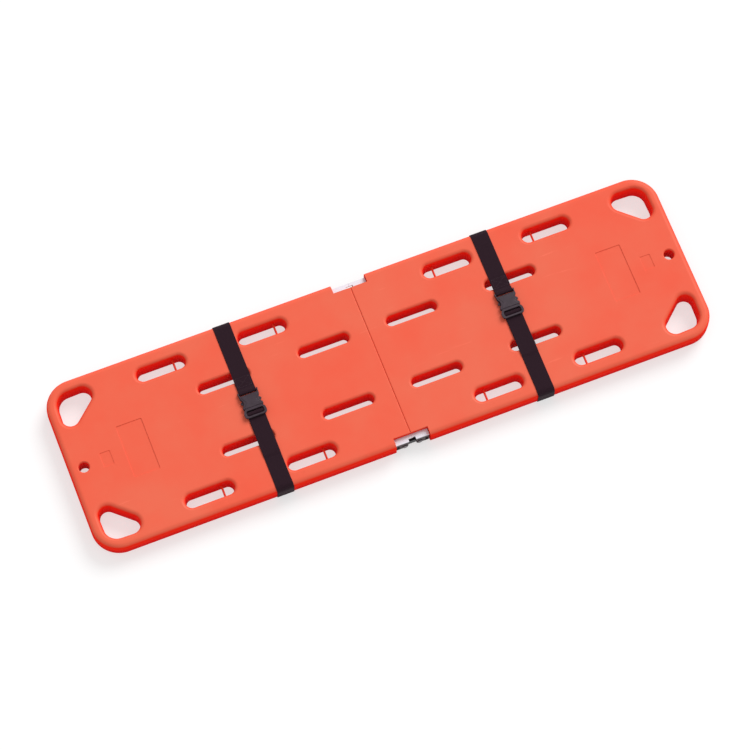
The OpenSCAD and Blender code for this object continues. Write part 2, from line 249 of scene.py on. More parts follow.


# %% [markdown]
# ## Finishes
# The board is through-coloured polyethylene with a fine grain from the mould, long shallow waves from
# cooling and a few pale scuffs where it has been dragged. Its lying surface is a little rougher and
# painted pale, as painted light from above, while the rounded edges and the walls of the holes get the
# deep colour as painted shade, turning darker towards the bottom: a mask on height does that.
# The webbing follows its own UV map, in metres along and across, so the weave keeps its size as it
# turns round the edges. Metal gets its brushing from noise that is stretched along one axis.


# %% Red polyethylene
def polyethylene(name, face, deep, lit_top_heights=None, painted_shade_foot=(204, 6, 18)):
    """Moulded plastic in its face colour, with a light coat instead of its own gloss. If two heights are
    given, only the parts above them get the face colour, as painted light on the top. Between them it
    changes to the deep colour, a painted shade, and further down the deep colour slowly turns to the
    foot colour, a darker painted shade."""
    paint = Finish(name, Specular_IOR_Level=0.0, Coat_Roughness=0.42, Coat_IOR=1.4)
    cloud = paint.noise(6.0, 4.0)
    grain = paint.noise(1500.0, 2.0)
    waves = paint.noise(22.0, 1.0)
    scuff_lines = paint.noise(9.0, 6.0, paint.place((1.0, 14.0, 1.0)))
    scuffs = paint.steps(scuff_lines, (0.66, 0.0), (0.74, 1.0)) * paint.steps(cloud, (0.5, 0.0), (0.6, 1.0))
    tone_and_painted_light = 0.75 + 0.25 * paint.steps(cloud, (0.3, 0.0), (0.7, 1.0))
    pale = tuple(min(255, c + 22) for c in face)
    wall = rgb(*deep)
    if lit_top_heights:
        start, end = lit_top_heights
        height = paint.height()
        # Painted light: above the given heights the top face gets the pale face colour, and lower down it
        # fades to the deep colour, a painted shade.
        tone_and_painted_light = tone_and_painted_light * paint.fade(height, start, end)
        # Painted shade: towards the bottom the deep colour turns to the darker foot colour.
        wall = paint.blend(paint.steps(height, (0.25 * start, 0.0), (start, 1.0)), rgb(*painted_shade_foot), wall)
    colour = paint.blend(tone_and_painted_light * scuffs * 0.35, paint.blend(tone_and_painted_light, wall, rgb(*face)), rgb(*pale))
    rough = 0.34 + 0.08 * cloud + 0.10 * tone_and_painted_light
    gloss = 0.08 + 0.42 * tone_and_painted_light
    normal = paint.bump(grain, 0.00012, 0.5, paint.bump(waves, 0.0011, 0.35))
    return paint.set(Base_Color=colour, Roughness=rough, Coat_Weight=gloss, Normal=normal)


board_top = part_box("right_shell")[1][2]
# The face colour is the painted light of the top face, the deep colour the painted shade of the edges and
# walls.
shell_finish = polyethylene("red_polyethylene", (236, 106, 79), (252, 38, 12),
                            (board_top - 0.010, board_top - 0.0021))
rod_finish = polyethylene("red_rod", (228, 66, 40), (222, 48, 26))
print("polyethylene nodes:", len(shell_finish.node_tree.nodes))


# %% Woven webbing
def webbing_finish(name):
    """Twill: ribs every 2.4 mm along the strap, whose phase swings with the sine of the place across it,
    and cords twice in every 3 mm across, with fuzz on top."""
    cloth = Finish(name, Specular_IOR_Level=0.12, Sheen_Weight=0.04, Sheen_Roughness=0.5)
    uv = cloth.node("ShaderNodeUVMap", {"uv_map": "UVMap"})
    along, across = (cloth.node("ShaderNodeSeparateXYZ", {}, {0: uv}, out=axis) for axis in (0, 1))
    columns = across * (2 * np.pi / 0.0030)
    chevron = along * (2 * np.pi / 0.0024) + 2.2 * cloth.sine(columns)
    ribs = 0.5 + 0.5 * cloth.sine(chevron)
    cords = 0.5 + 0.5 * cloth.sine(columns * 2.0)
    weave = ribs * 0.6 + cords * 0.4
    fuzz = cloth.noise(900.0, 3.0)
    colour = cloth.blend(weave * 0.7 + fuzz * 0.3, rgb(18, 6, 13), rgb(54, 30, 42))
    normal = cloth.bump(weave, 0.00035, 0.8, cloth.bump(fuzz, 0.0001, 0.4))
    return cloth.set(Base_Color=colour, Roughness=0.72 + 0.15 * fuzz, Normal=normal)


strap_finish = webbing_finish("black_webbing")


# %% Sewing thread
def thread(name):
    """Twisted polyester: fine slanted stripes, a little glossier than the webbing."""
    cord = Finish(name, Specular_IOR_Level=0.3)
    twist = cord.noise(1400.0, 2.0, cord.place((1.0, 2.5, 1.0)))
    colour = cord.blend(twist, rgb(30, 14, 22), rgb(74, 50, 62))
    return cord.set(Base_Color=colour, Roughness=0.5 + 0.1 * twist)


thread_finish = thread("sewing_thread")


# %% Buckle plastic
def acetal(name):
    """Buckle plastic: near black with a purple cast, and the fine texture of a spark-eroded mould."""
    paint = Finish(name, Specular_IOR_Level=0.4)
    grain = paint.noise(2200.0, 2.0)
    cloud = paint.noise(60.0, 3.0)
    colour = paint.blend(cloud, rgb(42, 26, 37), rgb(60, 43, 55))
    normal = paint.bump(grain, 0.00006, 0.6)
    return paint.set(Base_Color=colour, Roughness=0.34 + 0.12 * cloud, Normal=normal)


buckle_finish = acetal("black_acetal")


# %% Metals
def metal(name, dark, light, rough, stretch, metallic=1.0, painted_shade_below=None):
    """Metal brushed along the axis whose stretch is the smallest. Below a height, if given, it gets a dark
    painted shade.
    """
    steel = Finish(name, Metallic=metallic)
    brushed = steel.noise(90.0, 6.0, steel.place(stretch))
    dirt_and_shade_edge = steel.noise(30.0, 4.0)
    colour = steel.blend(brushed * 0.6 + dirt_and_shade_edge * 0.4, rgb(*dark), rgb(*light))
    if painted_shade_below:
        # Painted shade: below the given height the colour turns dark, with a ragged edge from the noise.
        unshaded = steel.fade(steel.height() + 0.004 * dirt_and_shade_edge, painted_shade_below - 0.004, painted_shade_below)
        colour = steel.blend(unshaded, rgb(62, 46, 50), colour)
    normal = steel.bump(brushed, 0.00006, 0.5)
    return steel.set(Base_Color=colour, Roughness=rough + 0.15 * brushed, Normal=normal)


# The leaf's webs under its top plate get a painted shade.
leaf_finish = metal("leaf_aluminium", (208, 206, 214), (238, 236, 244), 0.42, (1.0, 12.0, 12.0), 0.5,
                    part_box("far_right_leaf")[1][2] - 0.001)
link_finish = metal("link_steel", (42, 42, 46), (70, 70, 74), 0.38, (1.0, 10.0, 10.0))
pin_finish = metal("pin_steel", (92, 86, 90), (140, 134, 138), 0.30, (14.0, 1.0, 14.0))
screw_finish = metal("screw_steel", (160, 160, 164), (205, 205, 208), 0.26, (14.0, 1.0, 14.0))
brass_finish = metal("insert_brass", (176, 138, 70), (214, 178, 104), 0.30, (14.0, 1.0, 14.0))


def nylon(name):
    """Off-white nylon with faint clouds."""
    paint = Finish(name)
    cloud = paint.noise(200.0, 3.0)
    colour = paint.blend(cloud, rgb(214, 210, 200), rgb(236, 233, 226))
    return paint.set(Base_Color=colour, Roughness=0.45 + 0.1 * cloud, Normal=paint.bump(cloud, 0.00005))


washer_finish = nylon("washer_nylon")


# %% Floor finish
def floor_finish():
    """A light table: white glass that glows a little, so only the softest shadow is left on it."""
    paint = Finish("floor", Specular_IOR_Level=0.1, Emission_Strength=0.6)
    paint.shader.inputs["Emission Color"].default_value = rgb(255, 255, 255)
    cloud = paint.noise(0.6, 2.0)
    colour = paint.blend(cloud, rgb(172, 172, 172), rgb(176, 176, 176))
    return paint.set(Base_Color=colour, Roughness=0.9 + 0.05 * cloud)


floor_mesh.materials.append(floor_finish())
print("materials:", len(bpy.data.materials))

# %% [markdown]
# ## Making skins
# Nearly every surface here is a profile carried along an outline: the rim of a slot, the rounded edge
# of the board, the side of a buckle. Skin collects such bands as grids of points, closes the flat
# regions between them, and welds everything into one piece. All sizes are in millimetres.


# %% Skin
def crossings(points, loops):
    """How many edges of the loops lie to the right of each point, on the point's own level."""
    ends = np.concatenate([np.stack((loop, np.roll(loop, -1, 0)), 1) for loop in loops])
    (ax, ay), (bx, by) = ends[:, 0].T, ends[:, 1].T
    px, py = points[:, 0:1], points[:, 1:2]
    level = (ay > py) != (by > py)
    with np.errstate(divide="ignore", invalid="ignore"):
        cut = ax + (py - ay) * (bx - ax) / (by - ay)
    return (level & (px < cut)).sum(1)


class Skin:
    """Points and faces of one piece, in millimetres."""

    def __init__(self):
        self.points, self.faces, self.count = [], [], 0

    def add(self, points, faces):
        """Takes in points, and faces that count from the first of them."""
        self.points.append(points)
        self.faces += (faces + self.count).tolist()
        self.count += len(points)

    def grid(self, grid, closed=True):
        """Quads between neighbouring rows; closed joins each row's last point to its first."""
        rows, columns = grid.shape[:2]
        index = np.arange(rows * columns).reshape(rows, columns)
        index = np.concatenate((index, index[:, :1]), 1) if closed else index
        quads = np.stack((index[:-1, :-1], index[1:, :-1], index[1:, 1:], index[:-1, 1:]), -1)
        self.add(grid.reshape(-1, 3), quads.reshape(-1, 4))

    def flat(self, loops, place):
        """Fills a flat region. An odd number of loop edges beside a triangle means it is inside."""
        points = np.concatenate(loops)
        starts = np.cumsum([0] + [len(loop) for loop in loops])
        edges = np.concatenate([np.stack((np.arange(a, b), np.roll(np.arange(a, b), -1)), 1)
                                for a, b in zip(starts[:-1], starts[1:])])
        found = delaunay_2d_cdt(list(map(Vector, points.tolist())), edges.tolist(), [], 0, 1e-5, False)
        corners, triangles = np.array([tuple(v) for v in found[0]]), np.array(found[2])
        inside = crossings(corners[triangles].mean(1), loops) % 2 == 1
        self.add(place(corners), triangles[inside])

    def piece(self, name, body, finish, stands_for=(), uv=None, sharp=40.0):
        """Welds the points, turns the faces outwards and hangs the piece on its body, if one is named."""
        mesh = bpy.data.meshes.new(name)
        mesh.from_pydata((np.concatenate(self.points) * 0.001).tolist(), [], self.faces)
        if uv is not None:
            corner = np.empty(len(mesh.loops), np.int32)
            mesh.loops.foreach_get("vertex_index", corner)
            mesh.uv_layers.new(name="UVMap").data.foreach_set("uv", uv[corner].ravel())
        work = bmesh.new()
        work.from_mesh(mesh)
        bmesh.ops.remove_doubles(work, verts=work.verts, dist=2e-6)
        bmesh.ops.recalc_face_normals(work, faces=work.faces)
        loose = sum(not edge.is_manifold for edge in work.edges)
        work.to_mesh(mesh)
        work.free()
        mesh.shade_smooth()
        mesh.set_sharp_from_angle(angle=np.radians(sharp))
        mesh.materials.append(finish)
        made = bpy.data.objects.new(name, mesh)
        bpy.context.scene.collection.objects.link(made)
        weighted = made.modifiers.new("even_shading", "WEIGHTED_NORMAL")
        weighted.keep_sharp = True
        if body:
            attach(made, body)
        if stands_for:
            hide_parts(*stands_for)
        print(f"{name}: {len(mesh.polygons)} faces, {loose} open edges")
        return made


# %% [markdown]
# ## Outlines and rims
# Outlines are closed rings of points that run anticlockwise. Their outward directions come from the
# two neighbours of each point. An outline with a rounded rim is the commonest profile of all, so it
# has one function: the profile starts h to the material's side on the upper face, turns down over a
# quarter of an ellipse h wide and r high, goes straight down and turns in again at the lower face.


# %% Outlines and rims
def arc(cx, cy, radius, start, end, count):
    """Points on a circle from start to end degrees."""
    angle = np.radians(np.linspace(start, end, count))
    return np.stack((cx + radius * np.cos(angle), cy + radius * np.sin(angle)), 1)


def stadium(cx, cy, length, width, count=20):
    """A slot with round ends, along X, with a few points on its straight sides."""
    half = (length - width) / 2
    side = np.linspace(half, -half, 9)[1:-1]
    upper = np.stack((cx + side, np.full(7, cy + width / 2)), 1)
    lower = np.stack((cx - side, np.full(7, cy - width / 2)), 1)
    right_end = arc(cx + half, cy, width / 2, -90, 90, count)
    left_end = arc(cx - half, cy, width / 2, 90, 270, count)
    return np.concatenate((right_end, upper, left_end, lower))


def round_hull(circles, count=160):
    """The string pulled round some circles: in each direction w, the point centre + radius * w of the
    circle whose centre . w + radius is the largest."""
    circles = np.array(circles, float)
    angle = np.linspace(0, 2 * np.pi, count, endpoint=False)
    way = np.stack((np.cos(angle), np.sin(angle)), 1)
    first = (way @ circles[:, :2].T + circles[:, 2]).argmax(1)
    return circles[first, :2] + circles[first, 2:] * way


def even(loop, spacing):
    """The same closed outline with its long gaps filled by evenly spaced points."""
    step = np.roll(loop, -1, 0) - loop
    parts = np.maximum(1, np.ceil(np.linalg.norm(step, axis=1) / spacing)).astype(int)
    start = np.repeat(np.arange(len(loop)), parts)
    within = (np.arange(parts.sum()) - np.repeat(np.cumsum(parts) - parts, parts)) / parts[start]
    return loop[start] + within[:, None] * step[start]


def outward(loop):
    """Unit directions out of an anticlockwise ring."""
    along = np.roll(loop, -1, 0) - np.roll(loop, 1, 0)
    along /= np.linalg.norm(along, axis=1)[:, None]
    return np.stack((along[:, 1], -along[:, 0]), 1)


def rim(loop, into, top, low, top_r, low_r, top_h=None, low_h=None, ridge=0.0, draft=0.0, turns=8):
    """A wall with both rims rounded. into points to the material's side of each point of the loop, and
    draft is how far the wall leans away from that side on its way down, as a mould needs."""
    ones = np.ones(len(loop))
    top_h = ones * (top_r if top_h is None else top_h)
    low_h = ones * (low_r if low_h is None else low_h)
    angle = np.linspace(0, np.pi / 2, turns + 1)
    inset, fall = 1 - np.sin(angle), 1 - np.cos(angle)
    middle = (top - top_r + low + low_r) / 2
    line = np.array((0.0, -ridge, -ridge, 0.0)) if ridge else np.zeros(0)
    line_z = middle + np.array((0.9, 0.35, -0.35, -0.9)) if ridge else np.zeros(0)
    across = np.concatenate((np.outer(inset, top_h), np.outer(line, ones), np.outer(inset[::-1], low_h)))
    heights = np.concatenate((top - top_r * fall, line_z, low + low_r * fall[::-1]))
    across = across - draft * ((top - heights) / (top - low))[:, None]
    plan = loop[None] + across[..., None] * into[None]
    return np.concatenate((plan, np.broadcast_to(heights[:, None, None], plan.shape[:2] + (1,))), 2)


def at_height(z):
    """Puts flat points at one height."""
    return lambda flat: np.column_stack((flat, np.full(len(flat), z)))


# %% [markdown]
# ## The two shells
# Each half is a blow-moulded slab 62 mm deep. Its long edges and end roll over in a wide radius, every
# slot has a soft rim where the mould pinches the two faces together, and the seam face is nearly sharp
# at the top and very round below, so that the halves can roll about the hinge pins.
# At the corner grips the hole comes close to the edge, so both rims give way to each other there.

# %% Sizes of the board, in millimetres
# Slots are (x, y, length, width, rim); grips are circles (x, y, radius) with a string round them.
# The end hole is (x, y, radius, rim), a label pocket (x, length, width, depth) and a runner (start, end).
END_X, EDGE_Y, TOP = (round(1000 * place, 3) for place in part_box("right_shell")[1])
NOTCH_X, NOTCH_Y = 51.0, 1000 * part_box("far_right_leaf")[0][1] - 0.2
LOW, GROUND = 6.0, 0.0
CORNER_R, EDGE_R = 80.0, 16.0
SEAM_X, SEAM_TOP_R, SEAM_LOW_R = 0.2, 3.0, 22.0
HAND_SLOTS = [(x, y, 145.0, 41.0, 10.0) for x in (279.0, 580.0) for y in (-197.0, 197.0)]
STRAP_SLOTS = [(x, y, 152.0, 32.0, 7.5) for x in (132.0, 430.0) for y in (-97.0, 97.0)]
GRIP = [(848.0, 186.0, 40.0), (863.0, 152.0, 26.0), (813.0, 199.0, 28.0)]
GRIP_RIM, DRAFT = 13.0, 4.0
END_HOLE = (877.0, 0.0, 15.0, 4.0)
LABELS = [(719.0, 75.0, 156.0, 2.0), (810.0, 30.0, 42.0, 1.5)]
RUNNERS = [(110.0, 340.0), (440.0, 765.0)]
RUNNER_Y, RUNNER_W = 144.0, 26.0
VENT_X, VENT_R, VENT_DEPTH = 250.0, 12.1, 2.05
print("board:", END_X, EDGE_Y, TOP, "notch:", round(NOTCH_Y, 3))


# %% Outline of a half, from the notch at the near edge round to the notch at the far edge
def board_edge():
    """Straight near edge, corner, end, corner and straight far edge, as one open line."""
    long_x = np.concatenate((np.linspace(NOTCH_X, 700, 24), np.linspace(700, END_X - CORNER_R, 22)[1:]))
    near = np.stack((long_x, np.full(len(long_x), -EDGE_Y)), 1)
    cx, cy = END_X - CORNER_R, EDGE_Y - CORNER_R
    end_y = np.linspace(-cy, cy, 50)[1:-1]
    end = np.stack((np.full(len(end_y), END_X), end_y), 1)
    return np.concatenate((near[:-1], arc(cx, -cy, CORNER_R, -90, 0, 40), end,
                           arc(cx, cy, CORNER_R, 0, 90, 40), near[::-1][1:] * (1, -1)))


def edge_into(line):
    """Directions into the board: straight in from the edges, and towards the middle of each corner."""
    core = np.stack((np.minimum(line[:, 0], END_X - CORNER_R),
                     np.clip(line[:, 1], CORNER_R - EDGE_Y, EDGE_Y - CORNER_R)), 1)
    into = core - line
    return into / np.linalg.norm(into, axis=1)[:, None]


def soft_min(limit, room):
    """The smaller of two lengths, with a smooth change from one to the other."""
    return (limit ** -6.0 + room ** -6.0) ** (-1 / 6)


def gap(points, others):
    """Distance from each point to the nearest of the others."""
    return np.linalg.norm(points[:, None] - others[None], axis=2).min(1)


# %% Shell
def label_pocket(skin, label):
    """A shallow rectangular pocket: small rim, straight wall, small fillet and a flat floor."""
    x, length, width, depth = label
    corners = [(x + sx * (length / 2 - 3), sy * (width / 2 - 3), 3.0) for sx in (-1, 1) for sy in (-1, 1)]
    loop = even(round_hull(corners, 48), 12.0)
    side = outward(loop)
    steps = np.array(((0.9, 0.0), (0.45, -0.12), (0.12, -0.45), (0.0, -0.9), (0.0, 0.5 - depth),
                      (-0.15, 0.15 - depth), (-0.5, -depth)))
    plan = loop[None] + steps[:, 0][:, None, None] * side[None]
    rise = np.broadcast_to(TOP + steps[:, 1][:, None, None], plan.shape[:2] + (1,))
    skin.grid(np.concatenate((plan, rise), 2))
    skin.flat([plan[-1]], at_height(TOP - depth))
    return plan[0]


def runner(skin, span, y):
    """A round-ended skid under the board with a fillet at its root and rounded lower edges."""
    loop = even(stadium(sum(span) / 2, y, span[1] - span[0], RUNNER_W), 40.0)
    side = outward(loop)
    turn = np.linspace(0, np.pi / 2, 6)
    out = np.concatenate((2.0 * (1 - np.sin(turn)), -2.5 * (1 - np.cos(turn))))
    drop = np.concatenate((-2.0 * (1 - np.cos(turn)), -(LOW - 2.5) - 2.5 * np.sin(turn)))
    plan = loop[None] + out[:, None, None] * side[None]
    skin.grid(np.concatenate((plan, np.broadcast_to(LOW + drop[:, None, None], plan.shape[:2] + (1,))), 2))
    skin.flat([plan[-1]], at_height(GROUND))
    return plan[0]


def shell(name, side, body):
    """One half of the board; side is 1 for the right half and -1 for its mirror image."""
    skin = Skin()
    top_loops, low_loops = [], []

    def hole(wall):
        """Adds a hole's wall and keeps its two rims for the flat faces."""
        skin.grid(wall)
        top_loops.append(wall[0, :, :2])
        low_loops.append(wall[-1, :, :2])

    line = board_edge()
    grips = [even(round_hull([(x, y * s, r) for x, y, r in GRIP]), 8.0) for s in (-1, 1)]
    edge_room = gap(line, np.concatenate(grips))
    edge_h = soft_min(EDGE_R, 0.60 * edge_room)
    edge = rim(line, edge_into(line), TOP, LOW, EDGE_R, EDGE_R, edge_h, edge_h, ridge=0.25)
    skin.grid(edge, closed=False)

    seam = rim(np.array(((SEAM_X, NOTCH_Y), (SEAM_X, -NOTCH_Y))), np.array(((1.0, 0.0), (1.0, 0.0))),
               TOP, LOW, SEAM_TOP_R, SEAM_LOW_R, turns=14)
    skin.grid(seam, closed=False)
    for s in (-1, 1):
        end = 0 if s < 0 else -1
        cut = edge[:, end, 1:]
        box_low, box_top = (NOTCH_Y * s, LOW), (NOTCH_Y * s, TOP)
        skin.flat([np.concatenate((cut, (box_low, box_top)))],
                  lambda flat: np.column_stack((np.full(len(flat), NOTCH_X), flat)))
        wall = seam[:, 1 if s < 0 else 0][:, (0, 2)]
        skin.flat([np.concatenate((wall, ((NOTCH_X, LOW), (NOTCH_X, TOP))))],
                  lambda flat: np.column_stack((flat[:, 0], np.full(len(flat), NOTCH_Y * s), flat[:, 1])))
    inner = np.array(((NOTCH_X, NOTCH_Y), (NOTCH_X, -NOTCH_Y)))
    for row, loops in ((0, top_loops), (-1, low_loops)):
        far, near = seam[row, :, :2]
        loops.append(np.concatenate((edge[row, :, :2], inner[:1], far[None], near[None], inner[1:])))

    for x, y, length, width, radius in HAND_SLOTS + STRAP_SLOTS:
        loop = stadium(x, y, length, width)
        hole(rim(loop, outward(loop), TOP, LOW, radius, radius, draft=DRAFT))
    for loop in grips:
        room = soft_min(GRIP_RIM, 0.34 * gap(loop, line))
        hole(rim(loop, outward(loop), TOP, LOW, GRIP_RIM, GRIP_RIM, room, room, draft=DRAFT))
    x, y, radius, lip = END_HOLE
    loop = arc(x, y, radius, 0, 360, 49)[:-1]
    hole(rim(loop, outward(loop), TOP, LOW, lip, lip))

    top_loops += [label_pocket(skin, label) for label in LABELS]
    low_loops += [runner(skin, span, s * RUNNER_Y) for span in RUNNERS for s in (-1, 1)]
    vent = arc(VENT_X, 0, VENT_R, 0, 360, 49)[:-1]
    steps = np.array(((0.5, LOW), (0.15, LOW + 0.15), (0.0, LOW + 0.5), (0.0, LOW + VENT_DEPTH)))
    plan = vent[None] + steps[:, 0][:, None, None] * outward(vent)[None]
    skin.grid(np.concatenate((plan, np.broadcast_to(steps[:, 1][:, None, None], plan.shape[:2] + (1,))), 2))
    skin.flat([plan[-1]], at_height(LOW + VENT_DEPTH))
    low_loops.append(plan[0])
    skin.flat(top_loops, at_height(TOP))
    skin.flat(low_loops, at_height(LOW))
    skin.points = [points * (side, 1, 1) for points in skin.points]
    return skin.piece(name, body, shell_finish, [name.replace("moulding", "shell")])


left_moulding = shell("left_moulding", -1, "left_half")
right_moulding = shell("right_moulding", 1, "right_half")

# %% [markdown]
# ## Webbing
# A strap is one flat ribbon. Its path is a line in the plane across the board: straight runs and
# quarter turns round the rounded edges. A thin rounded section is carried along that path, and the
# UV map holds the true length and width in metres for the weave.
# The long strap stays with the board. The short adjustable end goes over the plug's bar; it is a piece
# of its own, hung on neither body.


# %% Ribbon
def turn_path(points, radii, count=12):
    """A polyline with its corners rounded: each corner becomes an arc that touches both sides."""
    points = np.array(points, float)
    pieces = [points[:1]]
    for before, corner, after, radius in zip(points[:-2], points[1:-1], points[2:], radii):
        a, b = before - corner, after - corner
        a, b = a / np.linalg.norm(a), b / np.linalg.norm(b)
        half = np.arccos(np.clip(a @ b, -1, 1)) / 2
        centre = corner + (a + b) / np.linalg.norm(a + b) * radius / np.sin(half)
        start, end = (corner + way * radius / np.tan(half) - centre for way in (a, b))
        first = np.arctan2(start[1], start[0])
        sweep = (np.arctan2(end[1], end[0]) - first + np.pi) % (2 * np.pi) - np.pi
        angle = first + np.linspace(0, sweep, count)
        pieces.append(centre + radius * np.stack((np.cos(angle), np.sin(angle)), 1))
    return np.concatenate(pieces + [points[-1:]])


def finer(path, spacing):
    """The same open path with points added on its long straight runs."""
    step = np.diff(path, axis=0)
    parts = np.maximum(1, np.ceil(np.linalg.norm(step, axis=1) / spacing)).astype(int)
    start = np.repeat(np.arange(len(step)), parts)
    within = (np.arange(parts.sum()) - np.repeat(np.cumsum(parts) - parts, parts)) / parts[start]
    return np.concatenate((path[:-1][start] + within[:, None] * step[start], path[-1:]))


def ribbon(name, path, x, width, thick, body, stands_for, begin=0.0, drift=0.0):
    """Carries a rounded flat section along a path in Y and Z. The map is length by width, in metres.
    Under the board the path wanders by drift along X, from nothing at the edges."""
    path = finer(path, 6.0)
    ease = np.clip((EDGE_Y - 5 - np.abs(path[:, 0])) / 90, 0, 1) * (path[:, 1] < LOW)
    x = x + drift * ease * ease * (3 - 2 * ease)
    along = np.gradient(path, axis=0)
    along /= np.linalg.norm(along, axis=1)[:, None]
    up_way = np.stack((-along[:, 1], along[:, 0]), 1)
    edge = thick / 2
    flat = np.linspace(-1, 1, 13) * (width / 2 - edge)
    turn = np.radians(np.linspace(-60, 60, 5))
    right_end = np.stack((width / 2 - edge + edge * np.cos(turn), edge * np.sin(turn)), 1)
    section = np.concatenate((np.stack((flat, np.full(13, -edge)), 1), right_end,
                              np.stack((-flat, np.full(13, edge)), 1), -right_end))
    far = np.concatenate(([0.0], np.cumsum(np.linalg.norm(np.diff(path, axis=0), axis=1))))
    rows, columns = len(path), len(section)
    plan = path[:, None] + section[None, :, 1:] * up_way[:, None]
    grid = np.concatenate((x[:, None, None] + section[None, :, :1], plan), 2)
    skin = Skin()
    skin.grid(grid)
    for row in (0, -1):
        skin.flat([section], lambda s, r=row: np.column_stack(
            (x[r] + s[:, 0], path[r, 0] + s[:, 1] * up_way[r, 0], path[r, 1] + s[:, 1] * up_way[r, 1])))
    lengths = np.concatenate((np.repeat(far, columns), np.zeros(skin.count - rows * columns)))
    widths = np.concatenate((np.tile(section[:, 0], rows), np.zeros(skin.count - rows * columns)))
    uv = np.stack((lengths + begin, widths), 1) * 0.001
    made = skin.piece(name, body, strap_finish, stands_for, uv=uv, sharp=70.0)
    return made, begin + far[-1]


# %% Straps
# The long path runs from the sewn end, round the socket's bar and the board, to JOIN_Y near the near edge.
# The short path goes on from there, round the plug's bar and back under itself to the loose end.
WEB_W, WEB_T, WEB_LIFT = 50.0, 1.8, 0.4
BAR_Z, BAR_R = TOP + WEB_LIFT + 5.0, 2.4
MID = WEB_LIFT + WEB_T / 2
TURN_R = BAR_R + 0.2 + WEB_T / 2
BAR_BEND = 0.98 * TURN_R
OUTER_Y, OVER_Z, UNDER_Z, BEND_R = EDGE_Y + MID, TOP + MID, LOW - MID, EDGE_R + MID
EYE_Y, PLUG_BAR_Y = 49.0, -13.0
STRAPS = {}
for side in ("left", "right"):
    least, most = (1000 * np.array(corner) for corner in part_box(f"{side}_buckle_socket"))
    STRAPS[side] = ((least[0] + most[0]) / 2, least[1])
JOIN_Y = 21.0 - EDGE_Y
UNDER_DRIFT = {"left": 9.0, "right": 13.5}

for side, (x, y) in STRAPS.items():
    turn_y, bar_y = y + EYE_Y, y + PLUG_BAR_Y
    sewn_z = OVER_Z + WEB_T
    high, under = BAR_Z + TURN_R, BAR_Z - TURN_R
    sewn_end = [(turn_y + 52, sewn_z + 0.1), (turn_y + 14, sewn_z + 0.1), (turn_y + 4, high)]
    round_bar = [(turn_y - TURN_R, high), (turn_y - TURN_R, under), (turn_y + 5, under),
                 (turn_y + 10, OVER_Z)]
    round_board = [(OUTER_Y, OVER_Z), (OUTER_Y, UNDER_Z), (-OUTER_Y, UNDER_Z), (-OUTER_Y, OVER_Z),
                   (JOIN_Y, OVER_Z)]
    long_path = turn_path(sewn_end + round_bar + round_board,
                          [6.0, 4.0, BAR_BEND, BAR_BEND, 3.0, 3.0, BEND_R, BEND_R, BEND_R, BEND_R])
    _, reached = ribbon(f"{side}_strap_webbing", long_path, x, WEB_W, WEB_T, f"{side}_half",
                        [f"{side}_strap"], drift=UNDER_DRIFT[side])
    to_plug = [(JOIN_Y, OVER_Z), (bar_y - 138, OVER_Z), (bar_y - 128, sewn_z + 0.2),
               (bar_y - 12, sewn_z + 0.2)]
    round_plug = [(bar_y - 4, high), (bar_y + TURN_R, high), (bar_y + TURN_R, under), (bar_y - 5, under)]
    tail = [(bar_y - 10, OVER_Z), (bar_y - 122, OVER_Z)]
    short_path = turn_path(to_plug + round_plug + tail, [20.0, 20.0, 6.0, 4.0, BAR_BEND, BAR_BEND, 3.0, 3.0])
    short, ending = ribbon(f"{side}_strap_adjuster", short_path, x, WEB_W - 0.6, WEB_T, None,
                           [f"{side}_strap_tail"], begin=reached)
    print(f"{side} strap: long part {reached:.0f} mm, adjustable part {ending - reached:.0f} mm")
    x / 1000
    (bar_y - 140) / 1000
    x / 1000
    (bar_y - 30) / 1000
    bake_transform(short)

# %% [markdown]
# ## Stitching
# The end of the long strap is folded back over the socket's bar and sewn down with a crossed box. Each
# stitch is one small bead: an ellipse along the seam whose width follows the square root of 1 - t * t.


# %% Crossed box of stitches
def stitches(side, x, turn_y):
    """Beads along the four sides and the two diagonals of a rectangle on top of the sewn end."""
    low_y, high_y, half = turn_y + 19, turn_y + 47, 20.0
    a, b, c, d = (-half, low_y), (half, low_y), (half, high_y), (-half, high_y)
    t = np.linspace(-1, 1, 9)
    turn = np.linspace(0, 2 * np.pi, 8, endpoint=False)
    swell = np.sqrt(1 - t * t)
    bead = np.stack(np.broadcast_arrays(1.7 * t[:, None], 0.45 * swell[:, None] * np.cos(turn),
                                        0.3 * swell[:, None] * np.sin(turn)), -1)
    skin = Skin()
    for start, end in ((a, b), (b, c), (c, d), (d, a), (a, c), (b, d)):
        start, end = np.array(start), np.array(end)
        way = (end - start) / np.linalg.norm(end - start)
        count = int(np.linalg.norm(end - start) / 4.4)
        for part in (np.arange(count) + 0.5) / count:
            middle = start + part * (end - start)
            plan = bead[..., :1] * way + bead[..., 1:2] * (-way[1], way[0]) + middle + (x, 0)
            skin.grid(np.concatenate((plan, bead[..., 2:] + OVER_Z + 1.5 * WEB_T + 0.2), -1))
    return skin.piece(f"{side}_stitching", f"{side}_half", thread_finish)


for side, (x, y) in STRAPS.items():
    stitches(side, x, y + EYE_Y)

# %% [markdown]
# ## Buckles
# A side-release buckle is three kinds of moulding: a hollow socket, a plug with a frame for the
# webbing, and two spring arms that show in the socket's side windows. Each is built from flat
# mouldings with rounded edges, which is how such parts look: everything has one wall thickness.


